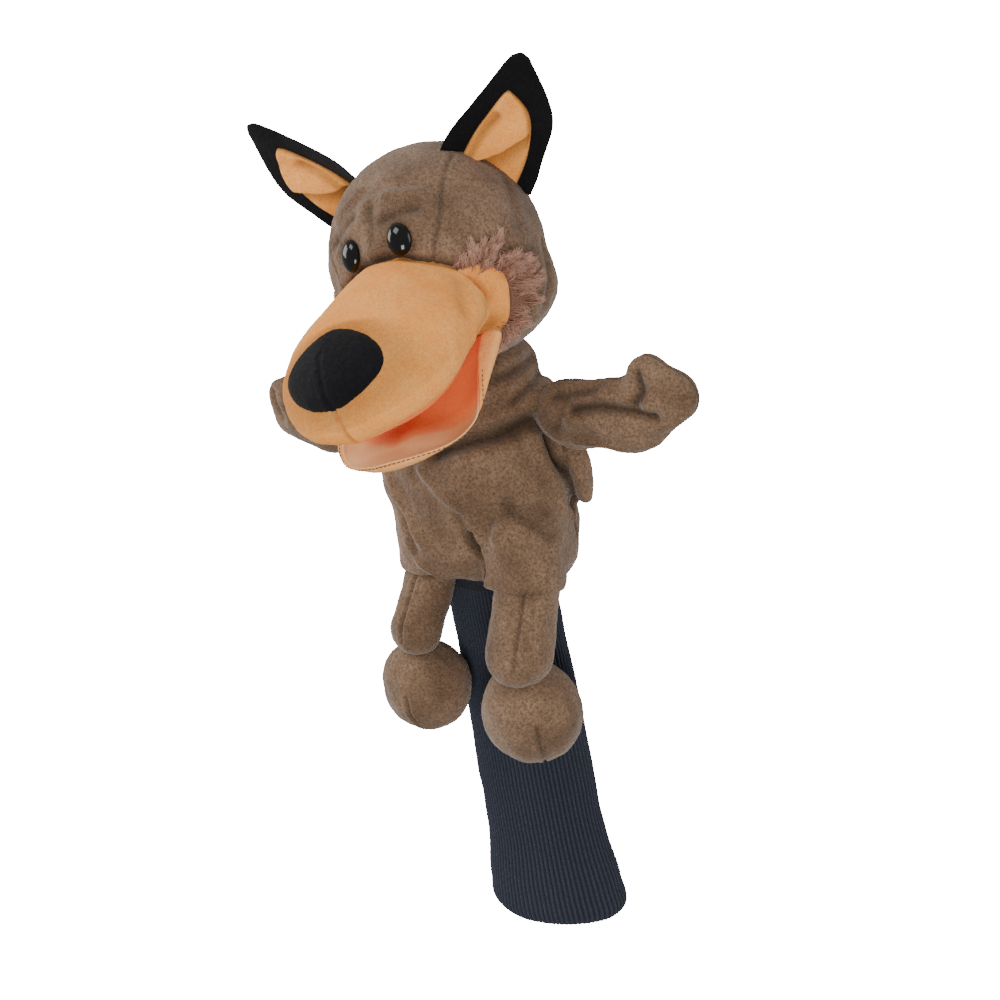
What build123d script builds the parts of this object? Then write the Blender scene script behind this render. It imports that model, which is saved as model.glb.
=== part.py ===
"""Plush wolf head cover for a golf driver, millimetres.

The frame sits in the mouth of the knit sock: the origin is the centre of the mouth, +Z runs up the
sock towards the animal, the face looks towards -Y and the wolf's own left is +X.
The club's head fills the pocket inside the torso, and its shaft leaves through the sock.
"""

import os

from build123d import *

os.makedirs("parts", exist_ok=True)

# ---------------------------------------------------------------- driving dimensions
CLOTH = 2.0  # plush pile and backing together
GAP = 0.4  # left between a skin and what lies inside it

KNIT = 2.6  # thickness of the ribbed knit
SOCK_TOP = 216
# height, half width and half depth of the sock's outside
SOCK = ((0, 38, 22), (4, 42, 25), (20, 42, 26), (45, 38, 24), (100, 35.5, 23), (150, 34, 22),
        (SOCK_TOP, 33.4, 21.4))

# the same for the torso's outside, and for the outside of the club pocket in it
TORSO = ((208, 37, 26), (216, 48, 36), (232, 55.5, 44), (256, 58, 47), (284, 56, 46), (306, 49, 41),
         (322, 36, 32))
POCKET_BASE = SOCK_TOP + 1.5
POCKET = ((POCKET_BASE, 34, 22), (226, 41, 29), (240, 45.5, 34), (258, 46.5, 35.5), (284, 44.5, 34.5),
          (300, 37, 29), (310, 26, 20))
LINING = 1.6
BINDING = 2.2  # thickness of the tape that joins sock, lining and skin
BINDING_BASE = 210
BINDING_TOP = SOCK_TOP + 1.2

# ---------------------------------------------------------------- placing the head
SKULL_HEIGHT = 392  # head centre above the mouth of the sock
HEAD_TURN = 8  # degrees, to its own left
HEAD_LEAN = 14  # degrees, over its right shoulder
HEAD_LIFT = 5.4  # degrees, nose up
HEAD = (Location((0, 0, SKULL_HEIGHT), (0, 0, HEAD_TURN))
        * Location((0, 0, 0), (0, -HEAD_LEAN, 0))
        * Location((0, 0, 0), (-HEAD_LIFT, 0, 0)))
HERE = Location()

SKULL = 59.5  # radius
SKULL_CENTRE = (0, 2, -2)
GUSSET_HALF = 34  # half width of the panel over the forehead

# The snout has its own slope: u runs forward along it, w runs up across it.
SNOUT_ROOT = (0, -45, -18)
SNOUT_SLOPE = 23.8  # degrees below level
SNOUT = Plane(origin=SNOUT_ROOT, x_dir=(1, 0, 0), z_dir=(0, -1, 0)).rotated((SNOUT_SLOPE, 0, 0))
# u, middle, half width and half height of the muzzle
MUZZLE = ((-14, -2, 46, 26), (20, 0, 50, 31), (50, -1, 48, 32), (70, -3, 41, 27), (85, -5, 32, 19.5),
          (95, -7, 18, 10))
PALATE = -17.5  # w of the flat underside of the muzzle
MOUTH_CLOTH = 1.5

JAW_HINGE_U = 9
JAW_HINGE_W = PALATE - MOUTH_CLOTH - 0.5
JAW_REST = 13  # degrees that the jaw hangs open
JAW_TOP = JAW_HINGE_W - 0.5  # w of the top of the jaw's lining, when shut
JAW = (43, 43, 21)  # half width, half length and depth
JAW_MIDDLE = 55  # u
JAW_BACK = 15  # u where the jaw's cloth begins

NOSE = (23, 17, 9)  # half width, half height and half thickness
NOSE_SPOT = (76, 17)  # u and w of its middle
NOSE_SLANT = 40  # degrees that it faces above the snout's own direction
EYE = (6.3, 8.3, 4.2)  # half width, half height and height of the dome
EYE_SPREAD = 15
EYE_SPOT = 14  # height of an eye above the head's centre
STEM = 1.6
STEM_LENGTH = 10
WASHER = 6
WASHER_DEPTH = 6
WASHER_THICK = 1.2

CHEEK_SPOT = (-36, -26)  # y and z of the tan patch's middle
CHEEK = 15
FUR_SPOT = (-27, -26)
FUR = 28
FUR_DEEP = 5  # length of the pile as it lies
PATCH = 1.6

EAR_WIDE = 52
EAR_TALL = 64
EAR_THICK = 3.4
EAR_INNER_THICK = 1.8
EAR_BORDER = 9
EAR_ROOT = (47, 8, 41)
EAR_LEAN = 36  # degrees outwards from upright
EAR_TIP_FORWARD = 14  # degrees

# ---------------------------------------------------------------- limbs
ARM = (44, 13, 21)
ARM_SPOT = {"left": (103, 0, 312), "right": (-103, 0, 300)}
ARM_RISE = {"left": 14, "right": 2}  # degrees above level

LEG = 15  # radius
LEG_TOP = 208
LEG_BOTTOM = 180
LEG_SPOT = {"left": (33, -39.5), "right": (-31, -40)}  # middle of the lower end
LEG_TILT = 13  # degrees that the lower end hangs forward
LEG_ROUND = 7

FOOT = {"left": (27, 24, 28), "right": (25, 22.5, 26)}
FOOT_SPOT = {"left": (34, -43, 151), "right": (-31, -44, 153)}

SIDES = {"left": 1, "right": -1}


# ---------------------------------------------------------------- shapes used more than once
def egg(half_axes, centre=(0, 0, 0), grow=0.0):
    """A closed egg, grown or shrunk by the same amount all round."""
    with BuildPart() as body:
        Sphere(1)
        scale(by=tuple(half + grow for half in half_axes))
    return body.part.moved(Location(centre))


def oval_body(stations, inset=0.0, base=None, top=None, straight=False):
    """A lofted body of oval sections, each inset by the same amount."""
    with BuildPart() as body:
        for number, (height, half_width, half_depth) in enumerate(stations):
            level = height
            if number == 0 and base is not None:
                level = base
            if number == len(stations) - 1 and top is not None:
                level = top
            with BuildSketch(Plane.XY.offset(level)):
                Ellipse(half_width - inset, half_depth - inset)
        loft(ruled=straight)
    return body.part


def skull_ball(grow=0.0):
    """The skull in the head's frame, grown or shrunk by the same amount all round."""
    with BuildPart() as ball:
        Sphere(SKULL + grow)
    return ball.part.moved(Location(SKULL_CENTRE))


def slab(low, high):
    """Everything between two heights, wider than the whole object."""
    with BuildPart() as block:
        with BuildSketch(Plane.XY.offset(low)):
            Rectangle(400, 400)
        extrude(amount=high - low)
    return block.part


def snout_slab(low, high, back=-60):
    """Everything between two levels w of the snout, from u = back forwards."""
    with BuildPart() as block:
        with BuildSketch(SNOUT.offset(back)):
            with Locations((0, (low + high) / 2)):
                Rectangle(300, high - low)
        extrude(amount=300)
    return block.part


def save(piece, name, place=HERE):
    """Move a finished piece to its place, name it and write it."""
    placed = piece.moved(place)
    placed.label = name
    export_step(placed, f"parts/{name}.step")


def mirrored(piece, side):
    """The piece itself on the left, and its mirror image on the right."""
    return piece if side == "left" else mirror(piece, about=Plane.YZ)


# ---------------------------------------------------------------- sock and its binding
def oval_ring(outer, inner, low, high):
    """A straight oval ring."""
    with BuildPart() as ring:
        with BuildSketch(Plane.XY.offset(low)):
            Ellipse(*outer)
            Ellipse(*inner, mode=Mode.SUBTRACT)
        extrude(amount=high - low)
    return ring.part


with BuildPart() as knit_sock:
    add(oval_body(SOCK, straight=True))
    add(oval_body(SOCK, KNIT, straight=True), mode=Mode.SUBTRACT)
save(knit_sock.part, "knit_sock")

sock_neck = (SOCK[-1][1] + GAP, SOCK[-1][2] + GAP)
binding_outside = (sock_neck[0] + BINDING, sock_neck[1] + BINDING)
save(oval_ring(binding_outside, sock_neck, BINDING_BASE, BINDING_TOP), "waist_binding")

# ---------------------------------------------------------------- torso round the club pocket
torso_top = TORSO[-1][0]

with BuildPart() as torso_shell:
    add(oval_body(TORSO))
    add(oval_body(TORSO, CLOTH, base=TORSO[0][0] - 1, top=torso_top - CLOTH), mode=Mode.SUBTRACT)
    with BuildSketch(Plane.XY.offset(TORSO[0][0] - 1)):
        Ellipse(binding_outside[0] + GAP, binding_outside[1] + GAP)
    extrude(amount=BINDING_TOP - TORSO[0][0], mode=Mode.SUBTRACT)

for face, name in ((Keep.TOP, "torso_back_skin"), (Keep.BOTTOM, "torso_front_skin")):
    with BuildPart() as torso_half:
        add(torso_shell.part)
        split(bisect_by=Plane(origin=(0, 0, 0), z_dir=(0, 1, 0)), keep=face)
    save(torso_half.part, name)

with BuildPart() as torso_padding:
    add(oval_body(TORSO, CLOTH + GAP, base=TORSO[0][0] + GAP, top=torso_top - CLOTH - GAP))
    add(oval_body(POCKET, -GAP, base=POCKET_BASE - 12, top=POCKET[-1][0] + GAP), mode=Mode.SUBTRACT)
    add(slab(0, BINDING_TOP + GAP), mode=Mode.SUBTRACT)
save(torso_padding.part, "torso_padding")

with BuildPart() as club_pocket_lining:
    add(oval_body(POCKET))
    add(oval_body(POCKET, LINING, base=POCKET_BASE - 2, top=POCKET[-1][0] - LINING), mode=Mode.SUBTRACT)
save(club_pocket_lining.part, "club_pocket_lining")


# ---------------------------------------------------------------- snout shapes, in the head's frame
def muzzle_body(inset=0.0):
    """The muzzle as a full oval loft along the snout, before its flat underside is cut."""
    with BuildPart() as body:
        for number, (forward, middle, half_width, half_height) in enumerate(MUZZLE):
            level = forward - inset if number == len(MUZZLE) - 1 else forward
            with BuildSketch(SNOUT.offset(level)):
                with Locations((0, middle)):
                    Ellipse(half_width - inset, half_height - inset)
        loft()
    return body.part


def snout_egg(half_axes, forward, up, grow=0.0, slant=0.0):
    """An egg whose half axes run across, up and forward along the snout, turned up by its slant."""
    spot = SNOUT.location * Location((0, up, forward), (-slant, 0, 0))
    return egg(half_axes, grow=grow).moved(spot)


skull_clear = skull_ball(GAP)
muzzle_outside = muzzle_body()


# ---------------------------------------------------------------- eyes
def eye_place(side):
    """An eye's own frame: z leaves the head, y runs up the face."""
    across = SIDES[side] * EYE_SPREAD
    rise = EYE_SPOT - SKULL_CENTRE[2]
    reach = (SKULL**2 - across**2 - rise**2) ** 0.5
    spot = Vector(across, SKULL_CENTRE[1] - reach, EYE_SPOT)
    outward = Vector(across, -reach, rise)
    level = Vector(0, 0, 1).cross(outward)
    return Plane(origin=spot, x_dir=level, z_dir=outward).location


def eye():
    """A domed eye on its stem."""
    with BuildPart() as body:
        add(egg(EYE))
        with BuildSketch():
            Rectangle(40, 40)
        extrude(amount=-20, mode=Mode.SUBTRACT)
        with BuildSketch():
            Circle(STEM)
        extrude(amount=-STEM_LENGTH)
    return body.part.moved(Location((0, 0, GAP)))


def eye_washer():
    """The disc that is pressed over the stem behind the cloth."""
    with BuildPart() as body:
        with BuildSketch(Plane.XY.offset(-WASHER_DEPTH)):
            Circle(WASHER)
            Circle(STEM, mode=Mode.SUBTRACT)
        extrude(amount=WASHER_THICK)
    return body.part


def eye_pocket(radius, depth):
    """A round space for the stem or the washer, open towards the face."""
    with BuildPart() as body:
        with BuildSketch(Plane.XY.offset(-depth)):
            Circle(radius)
        extrude(amount=depth + 4)
    return body.part


for side in SIDES:
    save(eye(), f"eye_{side}", HEAD * eye_place(side))
    save(eye_washer(), f"eye_washer_{side}", HEAD * eye_place(side))

# ---------------------------------------------------------------- head panels and wadding
with BuildPart() as skull_shell:
    add(skull_ball())
    add(skull_ball(-CLOTH), mode=Mode.SUBTRACT)
    for side in SIDES:
        add(eye_pocket(STEM + GAP, STEM_LENGTH).moved(eye_place(side)), mode=Mode.SUBTRACT)


def skull_panel(low, high):
    """The part of the skull's skin between two seams, each at a constant x."""
    with BuildPart() as panel:
        add(skull_shell.part)
        with BuildSketch(Plane.YZ.offset(low)):
            Rectangle(200, 200)
        extrude(amount=high - low, mode=Mode.INTERSECT)
    return panel.part


right_panel = skull_panel(-SKULL - 1, -GUSSET_HALF)
save(skull_panel(-GUSSET_HALF, GUSSET_HALF), "head_gusset", HEAD)
save(right_panel, "head_right_panel", HEAD)
save(mirror(right_panel, about=Plane.YZ), "head_left_panel", HEAD)

with BuildPart() as head_wadding:
    add(skull_ball(-CLOTH - GAP))
    for side in SIDES:
        add(eye_pocket(WASHER + GAP, STEM_LENGTH + GAP).moved(eye_place(side)), mode=Mode.SUBTRACT)
save(head_wadding.part, "head_wadding", HEAD)

# ---------------------------------------------------------------- muzzle, nose and palate
with BuildPart() as muzzle_skin:
    add(muzzle_outside)
    add(muzzle_body(CLOTH), mode=Mode.SUBTRACT)
    add(snout_slab(-80, PALATE), mode=Mode.SUBTRACT)
    add(skull_clear, mode=Mode.SUBTRACT)
save(muzzle_skin.part, "muzzle_skin", HEAD)

with BuildPart() as muzzle_wadding:
    add(muzzle_body(CLOTH + GAP))
    add(snout_slab(-80, PALATE), mode=Mode.SUBTRACT)
    add(skull_clear, mode=Mode.SUBTRACT)
save(muzzle_wadding.part, "muzzle_wadding", HEAD)

with BuildPart() as palate_lining:
    add(muzzle_body(1))
    add(snout_slab(PALATE - GAP, 80), mode=Mode.SUBTRACT)
    add(snout_slab(-80, PALATE - MOUTH_CLOTH), mode=Mode.SUBTRACT)
    add(skull_ball(2), mode=Mode.SUBTRACT)
save(palate_lining.part, "palate_lining", HEAD)

with BuildPart() as nose_pad:
    add(snout_egg(NOSE, *NOSE_SPOT, slant=NOSE_SLANT))
    add(muzzle_body(-GAP), mode=Mode.SUBTRACT)
save(nose_pad.part, "nose_pad", HEAD)

# ---------------------------------------------------------------- jaw, made shut and then swung open
hinge_line = SNOUT.location * Location((0, JAW_HINGE_W, JAW_HINGE_U))
JAW_OPEN = HEAD * hinge_line * Location((0, 0, 0), (JAW_REST, 0, 0)) * hinge_line.inverse()
jaw_front = snout_slab(-120, JAW_TOP - MOUTH_CLOTH - GAP, JAW_BACK)


def jaw_body(inset=0.0):
    """The jaw's lower half egg, with its flat top at the lining."""
    half_width, half_length, depth = JAW
    middle = JAW_TOP
    return snout_egg((half_width, depth, half_length), JAW_MIDDLE, middle, -inset)


with BuildPart() as jaw_skin:
    add(jaw_body())
    add(jaw_body(CLOTH), mode=Mode.SUBTRACT)
    add(jaw_front, mode=Mode.INTERSECT)
save(jaw_skin.part, "jaw_skin", JAW_OPEN)

with BuildPart() as jaw_wadding:
    add(jaw_body(CLOTH + GAP))
    add(jaw_front, mode=Mode.INTERSECT)
save(jaw_wadding.part, "jaw_wadding", JAW_OPEN)

with BuildPart() as jaw_lining:
    add(jaw_body(0.5))
    add(snout_slab(JAW_TOP - MOUTH_CLOTH, JAW_TOP, JAW_BACK), mode=Mode.INTERSECT)
save(jaw_lining.part, "jaw_lining", JAW_OPEN)


# ---------------------------------------------------------------- cheek patches and fur
def across_the_head(spot, radius):
    """A round bar along X through one side of the head."""
    with BuildPart() as bar:
        with BuildSketch(Plane.YZ.offset(20)):
            with Locations(spot):
                Circle(radius)
        extrude(amount=60)
    return bar.part


with BuildPart() as cheek_patch:
    add(skull_ball(GAP + PATCH))
    add(skull_clear, mode=Mode.SUBTRACT)
    add(across_the_head(CHEEK_SPOT, CHEEK), mode=Mode.INTERSECT)
    add(muzzle_body(-GAP), mode=Mode.SUBTRACT)

with BuildPart() as cheek_fur:
    add(skull_ball(GAP + FUR_DEEP))
    add(skull_clear, mode=Mode.SUBTRACT)
    add(across_the_head(FUR_SPOT, FUR), mode=Mode.INTERSECT)
    add(across_the_head(CHEEK_SPOT, CHEEK + GAP), mode=Mode.SUBTRACT)
    add(muzzle_body(-GAP), mode=Mode.SUBTRACT)

for side in SIDES:
    save(mirrored(cheek_patch.part, side), f"cheek_patch_{side}", HEAD)
    save(mirrored(cheek_fur.part, side), f"cheek_fur_{side}", HEAD)


# ---------------------------------------------------------------- ears
def ear_outline(border=0.0):
    """A leaf with its foot on the x axis and its point up."""
    half = EAR_WIDE / 2 - border
    tall = EAR_TALL - 1.6 * border
    with BuildSketch() as leaf:
        with BuildLine():
            right = Spline((0.78 * half, border / 2), (half, 0.3 * tall), (0.5 * half, 0.75 * tall),
                           (1.5, tall))
            left = Spline((-0.78 * half, border / 2), (-half, 0.3 * tall), (-0.5 * half, 0.75 * tall),
                          (-1.5, tall))
            Line(right @ 1, left @ 1)
            Line(left @ 0, right @ 0)
        make_face()
    return leaf.sketch


ear_plane = Plane(origin=(0, 0, 0), x_dir=(1, 0, 0), z_dir=(0, -1, 0))
EAR_PLACE = Location(EAR_ROOT, (0, EAR_LEAN, 0)) * Location((0, 0, 0), (EAR_TIP_FORWARD, 0, 0))

with BuildPart() as ear_back:
    with BuildSketch(ear_plane):
        add(ear_outline())
    extrude(amount=-EAR_THICK)

with BuildPart() as ear_inner:
    with BuildSketch(ear_plane.offset(GAP / 2)):
        add(ear_outline(EAR_BORDER))
    extrude(amount=EAR_INNER_THICK)

for side in SIDES:
    save(mirrored(ear_back.part.moved(EAR_PLACE), side), f"ear_back_{side}", HEAD)
    save(mirrored(ear_inner.part.moved(EAR_PLACE), side), f"ear_inner_{side}", HEAD)


# ---------------------------------------------------------------- arms, legs and feet
def stuffed_egg(half_axes, name, place):
    """A skin and the wadding in it, as two pieces."""
    with BuildPart() as skin:
        add(egg(half_axes))
        add(egg(half_axes, grow=-CLOTH), mode=Mode.SUBTRACT)
    save(skin.part, f"{name}_skin", place)
    save(egg(half_axes, grow=-CLOTH - GAP), f"{name}_wadding", place)


def leg_tube(inset=0.0):
    """A short round-ended tube, standing on the origin."""
    height = LEG_TOP - LEG_BOTTOM
    with BuildPart() as tube:
        with BuildSketch(Plane.XY.offset(inset)):
            Circle(LEG - inset)
        extrude(amount=height - 2 * inset)
        fillet(tube.edges().filter_by(GeomType.CIRCLE), LEG_ROUND - inset)
    return tube.part


for side, sign in SIDES.items():
    stuffed_egg(ARM, f"arm_{side}", Location(ARM_SPOT[side], (0, -sign * ARM_RISE[side], 0)))
    stuffed_egg(FOOT[side], f"foot_{side}", Location(FOOT_SPOT[side]))
    leg_place = Location((*LEG_SPOT[side], LEG_BOTTOM), (-LEG_TILT, 0, 0))
    with BuildPart() as leg_skin:
        add(leg_tube())
        add(leg_tube(CLOTH), mode=Mode.SUBTRACT)
    save(leg_skin.part, f"leg_{side}_skin", leg_place)
    save(leg_tube(CLOTH + GAP), f"leg_{side}_wadding", leg_place)
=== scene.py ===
"""Looks of the plush wolf head cover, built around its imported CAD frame.

Shapes are worked out in millimetres in the row frame and written to meshes in metres.
+Z runs up the sock, the face looks towards -Y, and the wolf's own left is +X.
A stuffed piece is the zero surface of a distance function, pulled in at its seams and folds.
"""

import itertools
import math

import bpy
import numpy as np
import openvdb
from mathutils import Matrix, Vector


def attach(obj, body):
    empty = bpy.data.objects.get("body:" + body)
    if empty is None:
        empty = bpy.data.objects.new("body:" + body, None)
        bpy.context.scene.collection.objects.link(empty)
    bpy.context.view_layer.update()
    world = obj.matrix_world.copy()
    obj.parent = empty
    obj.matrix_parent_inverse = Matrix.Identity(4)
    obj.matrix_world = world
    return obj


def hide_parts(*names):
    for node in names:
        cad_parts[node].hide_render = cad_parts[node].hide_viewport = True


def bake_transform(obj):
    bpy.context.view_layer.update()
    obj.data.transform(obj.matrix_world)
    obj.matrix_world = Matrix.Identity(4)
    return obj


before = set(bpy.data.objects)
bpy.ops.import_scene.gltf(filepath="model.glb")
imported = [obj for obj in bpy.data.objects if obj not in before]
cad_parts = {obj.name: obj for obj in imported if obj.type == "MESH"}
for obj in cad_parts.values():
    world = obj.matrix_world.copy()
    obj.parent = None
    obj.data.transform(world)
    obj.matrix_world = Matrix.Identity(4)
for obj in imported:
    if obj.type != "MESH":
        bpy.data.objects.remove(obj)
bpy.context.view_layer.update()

MM = 0.001


# ---- frames
def turn(axis, degrees):
    """A rotation matrix about one axis."""
    return np.array(Matrix.Rotation(math.radians(degrees), 3, axis))


class Place:
    """A local frame: its origin and its axes, which are the columns of a matrix."""

    def __init__(self, origin, axes):
        self.origin = np.array(origin, float)
        self.axes = np.array(axes, float)

    def out(self, points):
        """Points of this frame, in the row frame."""
        return np.asarray(points, float) @ self.axes.T + self.origin

    def back(self, points):
        """Points of the row frame, in this frame."""
        return (np.asarray(points, float) - self.origin) @ self.axes

    def inside(self, origin, axes):
        """A frame that is given in this one."""
        return Place(self.out(origin), self.axes @ np.array(axes, float))

    def box(self, *spans):
        """The low and high corners, in the row frame, of a box round three spans of this frame."""
        corners = self.out(list(itertools.product(*spans)))
        return corners.min(0), corners.max(0)


ROW = Place((0, 0, 0), np.eye(3))

# The head turns to its own left, leans over its right shoulder and lifts its nose.
HEAD = Place((0, 0, 392), turn("Z", 8) @ turn("Y", -14) @ turn("X", -5.4))
SKULL = (56, 58.5, 59.5)
SKULL_CENTRE = (-1.5, 1.2, -2)

# The snout's frame: x across, u forward along it, w up across it.
SLOPE = math.radians(23.8)
SNOUT = HEAD.inside(
    (0, -45, -18),
    [[1, 0, 0], [0, -math.cos(SLOPE), -math.sin(SLOPE)], [0, -math.sin(SLOPE), math.cos(SLOPE)]],
)
LIP = -17.5  # w of the upper lip
HINGE_U, HINGE_W = 9, -19.5
GAPE = math.radians(13)  # how far the jaw hangs open
# The jaw's frame: x across, s forward from the hinge, t up.
JAW = SNOUT.inside(
    (0, HINGE_U, HINGE_W),
    [[1, 0, 0], [0, math.cos(GAPE), math.sin(GAPE)], [0, -math.sin(GAPE), math.cos(GAPE)]],
)


# ---- fields
def unit(vectors):
    """The same vectors with a length of one."""
    return vectors / np.linalg.norm(vectors, axis=-1, keepdims=True)


def ellipsoid(points, centre, radii):
    """About the distance from an ellipsoid, negative inside."""
    radii = np.array(radii, float)
    q = (points - np.array(centre, float)) / radii
    k = np.linalg.norm(q, axis=1)
    slope = np.linalg.norm(q / radii, axis=1)
    return k * (k - 1) / np.maximum(slope, 1e-6)


def melt(a, b, k):
    """The union of two fields, rounded over k."""
    h = np.clip(0.5 + 0.5 * (b - a) / k, 0, 1)
    return b * (1 - h) + a * h - k * h * (1 - h)


def cut(a, b, k):
    """What two fields share, rounded over k."""
    return -melt(-a, -b, k)


def lumped(points, lumps):
    """Ellipsoids melted together in turn, each given as centre, half sizes and softness."""
    body = ellipsoid(points, *lumps[0][:2])
    for centre, radii, soft in lumps[1:]:
        body = melt(body, ellipsoid(points, centre, radii), soft)
    return body


def capsule(points, a, b, low, high):
    """A tube with round ends, its radius going from low to high."""
    a, b = np.array(a, float), np.array(b, float)
    d = b - a
    t = np.clip(((points - a) @ d) / (d @ d), 0, 1)
    return np.linalg.norm(points - a - t[:, None] * d, axis=1) - (low + (high - low) * t)


def ease(x, low, high):
    """0 below low, 1 above high, and smooth between."""
    t = np.clip((x - low) / (high - low), 0, 1)
    return t * t * (3 - 2 * t)


def bell(x, width):
    """1 at zero, and almost nothing beyond two widths."""
    return np.exp(-(x / width) ** 2)


def along(x, table):
    """A smooth curve through a table of (x, value...)."""
    t = np.array(table, float)
    i = np.clip(np.searchsorted(t[:, 0], x) - 1, 0, len(t) - 2)
    f = np.clip((x - t[i, 0]) / (t[i + 1, 0] - t[i, 0]), 0, 1)
    slopes = np.gradient(t[:, 1:], t[:, 0], axis=0)
    step = (t[i + 1, 0] - t[i, 0])[:, None]
    f = f[:, None]
    a, b = t[i, 1:], t[i + 1, 1:]
    return (a * (1 + 2 * f) * (1 - f) ** 2 + slopes[i] * step * f * (1 - f) ** 2
            + b * f * f * (3 - 2 * f) - slopes[i + 1] * step * f * f * (1 - f))


LATTICE = np.random.default_rng(7).uniform(-1, 1, (32, 32, 32))


def noise(points, size, seed=0):
    """Smooth noise from -1 to 1, with lumps of about that size."""
    q = points / size + seed * 7.31
    i = np.floor(q).astype(int)
    f = q - i
    f = f * f * (3 - 2 * f)
    total = np.zeros(len(points))
    for a in (0, 1):
        for b in (0, 1):
            for c in (0, 1):
                weight = np.abs((1 - a - f[:, 0]) * (1 - b - f[:, 1]) * (1 - c - f[:, 2]))
                total += weight * LATTICE[(i[:, 0] + a) % 32, (i[:, 1] + b) % 32, (i[:, 2] + c) % 32]
    return total


def through(points, steps=5):
    """A smooth line through the given points."""
    p = np.array(points, float)
    slopes = np.gradient(p, axis=0)
    out = []
    for x in np.linspace(0, len(p) - 1, (len(p) - 1) * steps + 1):
        i = min(int(x), len(p) - 2)
        f = x - i
        out.append(p[i] * (1 + 2 * f) * (1 - f) ** 2 + slopes[i] * f * (1 - f) ** 2
                   + p[i + 1] * f * f * (3 - 2 * f) - slopes[i + 1] * f * f * (1 - f))
    return np.array(out)


def off_line(points, line):
    """The distance of each point from a line of short runs."""
    best = np.full(len(points), 1e9)
    for a, b in zip(line[:-1], line[1:]):
        d = b - a
        t = np.clip(((points - a) @ d) / max(d @ d, 1e-9), 0, 1)
        best = np.minimum(best, np.linalg.norm(points - a - t[:, None] * d, axis=1))
    return best


# ---- meshes
def gradient(field, points, reach=0.25):
    """Which way the field grows, and how fast."""
    parts = []
    for axis in range(3):
        step = np.zeros(3)
        step[axis] = reach
        parts.append((field(points + step) - field(points - step)) / (2 * reach))
    return np.stack(parts, 1)


def skin_of(field, low, high, step):
    """The points, faces and outward normals of the field's zero surface."""
    axes = [np.arange(a, b + step, step) for a, b in zip(low, high)]
    grid = np.stack(np.meshgrid(*axes, indexing="ij"), -1).reshape(-1, 3)
    parts = np.array_split(grid, 1 + len(grid) // 300000)
    values = np.concatenate([np.clip(field(p), -3 * step, 3 * step) for p in parts])
    volume = openvdb.FloatGrid(3 * step)
    volume.copyFromArray(values.reshape([len(a) for a in axes]).astype(np.float32))
    points, faces = volume.convertToQuads(isovalue=0.0)
    points = points.astype(float) * step + np.array(low, float)
    faces = faces.astype(int)
    for _ in range(2):
        g = gradient(field, points)
        size = np.maximum((g * g).sum(1), 0.05)
        move = np.clip(field(points) / size, -step, step)
        points = points - g * move[:, None]
    g = gradient(field, points)
    normals = g / np.maximum(np.linalg.norm(g, axis=1), 1e-9)[:, None]
    across = np.cross(points[faces[:, 2]] - points[faces[:, 0]], points[faces[:, 3]] - points[faces[:, 1]])
    if (across * normals[faces[:, 0]]).sum() < 0:
        faces = faces[:, ::-1]
    return points, faces, normals


def mesh_object(name, points, faces, material, **attributes):
    """An object in metres from points in millimetres, with any numbers for each point."""
    mesh = bpy.data.meshes.new(name)
    mesh.from_pydata((np.asarray(points) * MM).tolist(), [], [list(map(int, f)) for f in faces])
    for key, values in attributes.items():
        layer = mesh.attributes.new(key, "FLOAT", "POINT")
        layer.data.foreach_set("value", np.asarray(values, np.float32))
    mesh.materials.append(material)
    mesh.polygons.foreach_set("use_smooth", np.ones(len(mesh.polygons), bool))
    mesh.update()
    made = bpy.data.objects.new(name, mesh)
    bpy.context.scene.collection.objects.link(made)
    return made


class Fold:
    """A seam or fold: a line that pulls the cloth in by depth over width, with a soft swell beside it."""

    def __init__(self, line, width, depth, place=ROW, swell=0.4):
        self.line = place.out(through(line))
        self.width, self.depth, self.swell = width, depth, swell

    def snap(self, field):
        """Moves the line onto the surface that it folds."""
        for _ in range(3):
            g = gradient(field, self.line)
            far = field(self.line) / np.maximum((g * g).sum(1), 0.05)
            self.line = self.line - g * far[:, None]

    def on(self, points):
        """How far the cloth moves at each point, and how much painted shade each gets: most on the fold's
        line, and more for a deeper fold.
        """
        d = off_line(points, self.line)
        valley = bell(d, self.width)
        beside = bell(d - 2.1 * self.width, 1.3 * self.width)
        return -self.depth * (valley - self.swell * beside), valley * min(1.0, abs(self.depth) / FULL_SHADE)


def mirrored(*rows):
    """Rows of (line, width, depth), and the same rows on the other side."""
    return rows + tuple(([(-x, y, z) for x, y, z in line], width, depth) for line, width, depth in rows)


def folds_of(place, *rows):
    """Folds from rows of (line, width, depth) in a frame."""
    return [Fold(line, width, depth, place) for line, width, depth in rows]


DEEPEST = 5.5  # no fold goes further in than this
FULL_SHADE = 2.4  # a fold of this depth or more is as dark as folds get


def stuffed(name, field, box, step, material, folds=(), lumps=0.5, pile=0.16, seed=1, shape=None):
    """A plush piece: the field's surface, its folds, soft lumps and the grain of the pile."""
    points, faces, normals = skin_of(field, *box, step)
    push = lumps * noise(points, 15, seed) + 0.45 * lumps * noise(points, 6.5, seed + 1)
    seam = np.zeros(len(points))
    for fold in folds:
        fold.snap(field)
        amount, painted_shade = fold.on(points)
        push += amount
        # folds that pull the cloth in get painted shade along them
        if fold.depth > 0:
            seam = np.maximum(seam, painted_shade)
    if shape is not None:
        more, painted_shade = shape(points)
        push += more
        # the piece's own shape adds painted shade too
        seam = np.maximum(seam, painted_shade)
    push = np.maximum(push, -DEEPEST)
    push += pile * noise(points, 1.7, seed + 2) + 0.6 * pile * noise(points, 3.3, seed + 3)
    made = mesh_object(name, points + normals * push[:, None], faces, material, seam=seam)
    return made


# ---- materials
def linear(r, g, b):
    """A colour given as sRGB bytes, as linear light."""
    shares = [c / 255 for c in (r, g, b)]
    return tuple(c / 12.92 if c <= 0.04 else ((c + 0.055) / 1.055) ** 2.4 for c in shares) + (1,)


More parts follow.
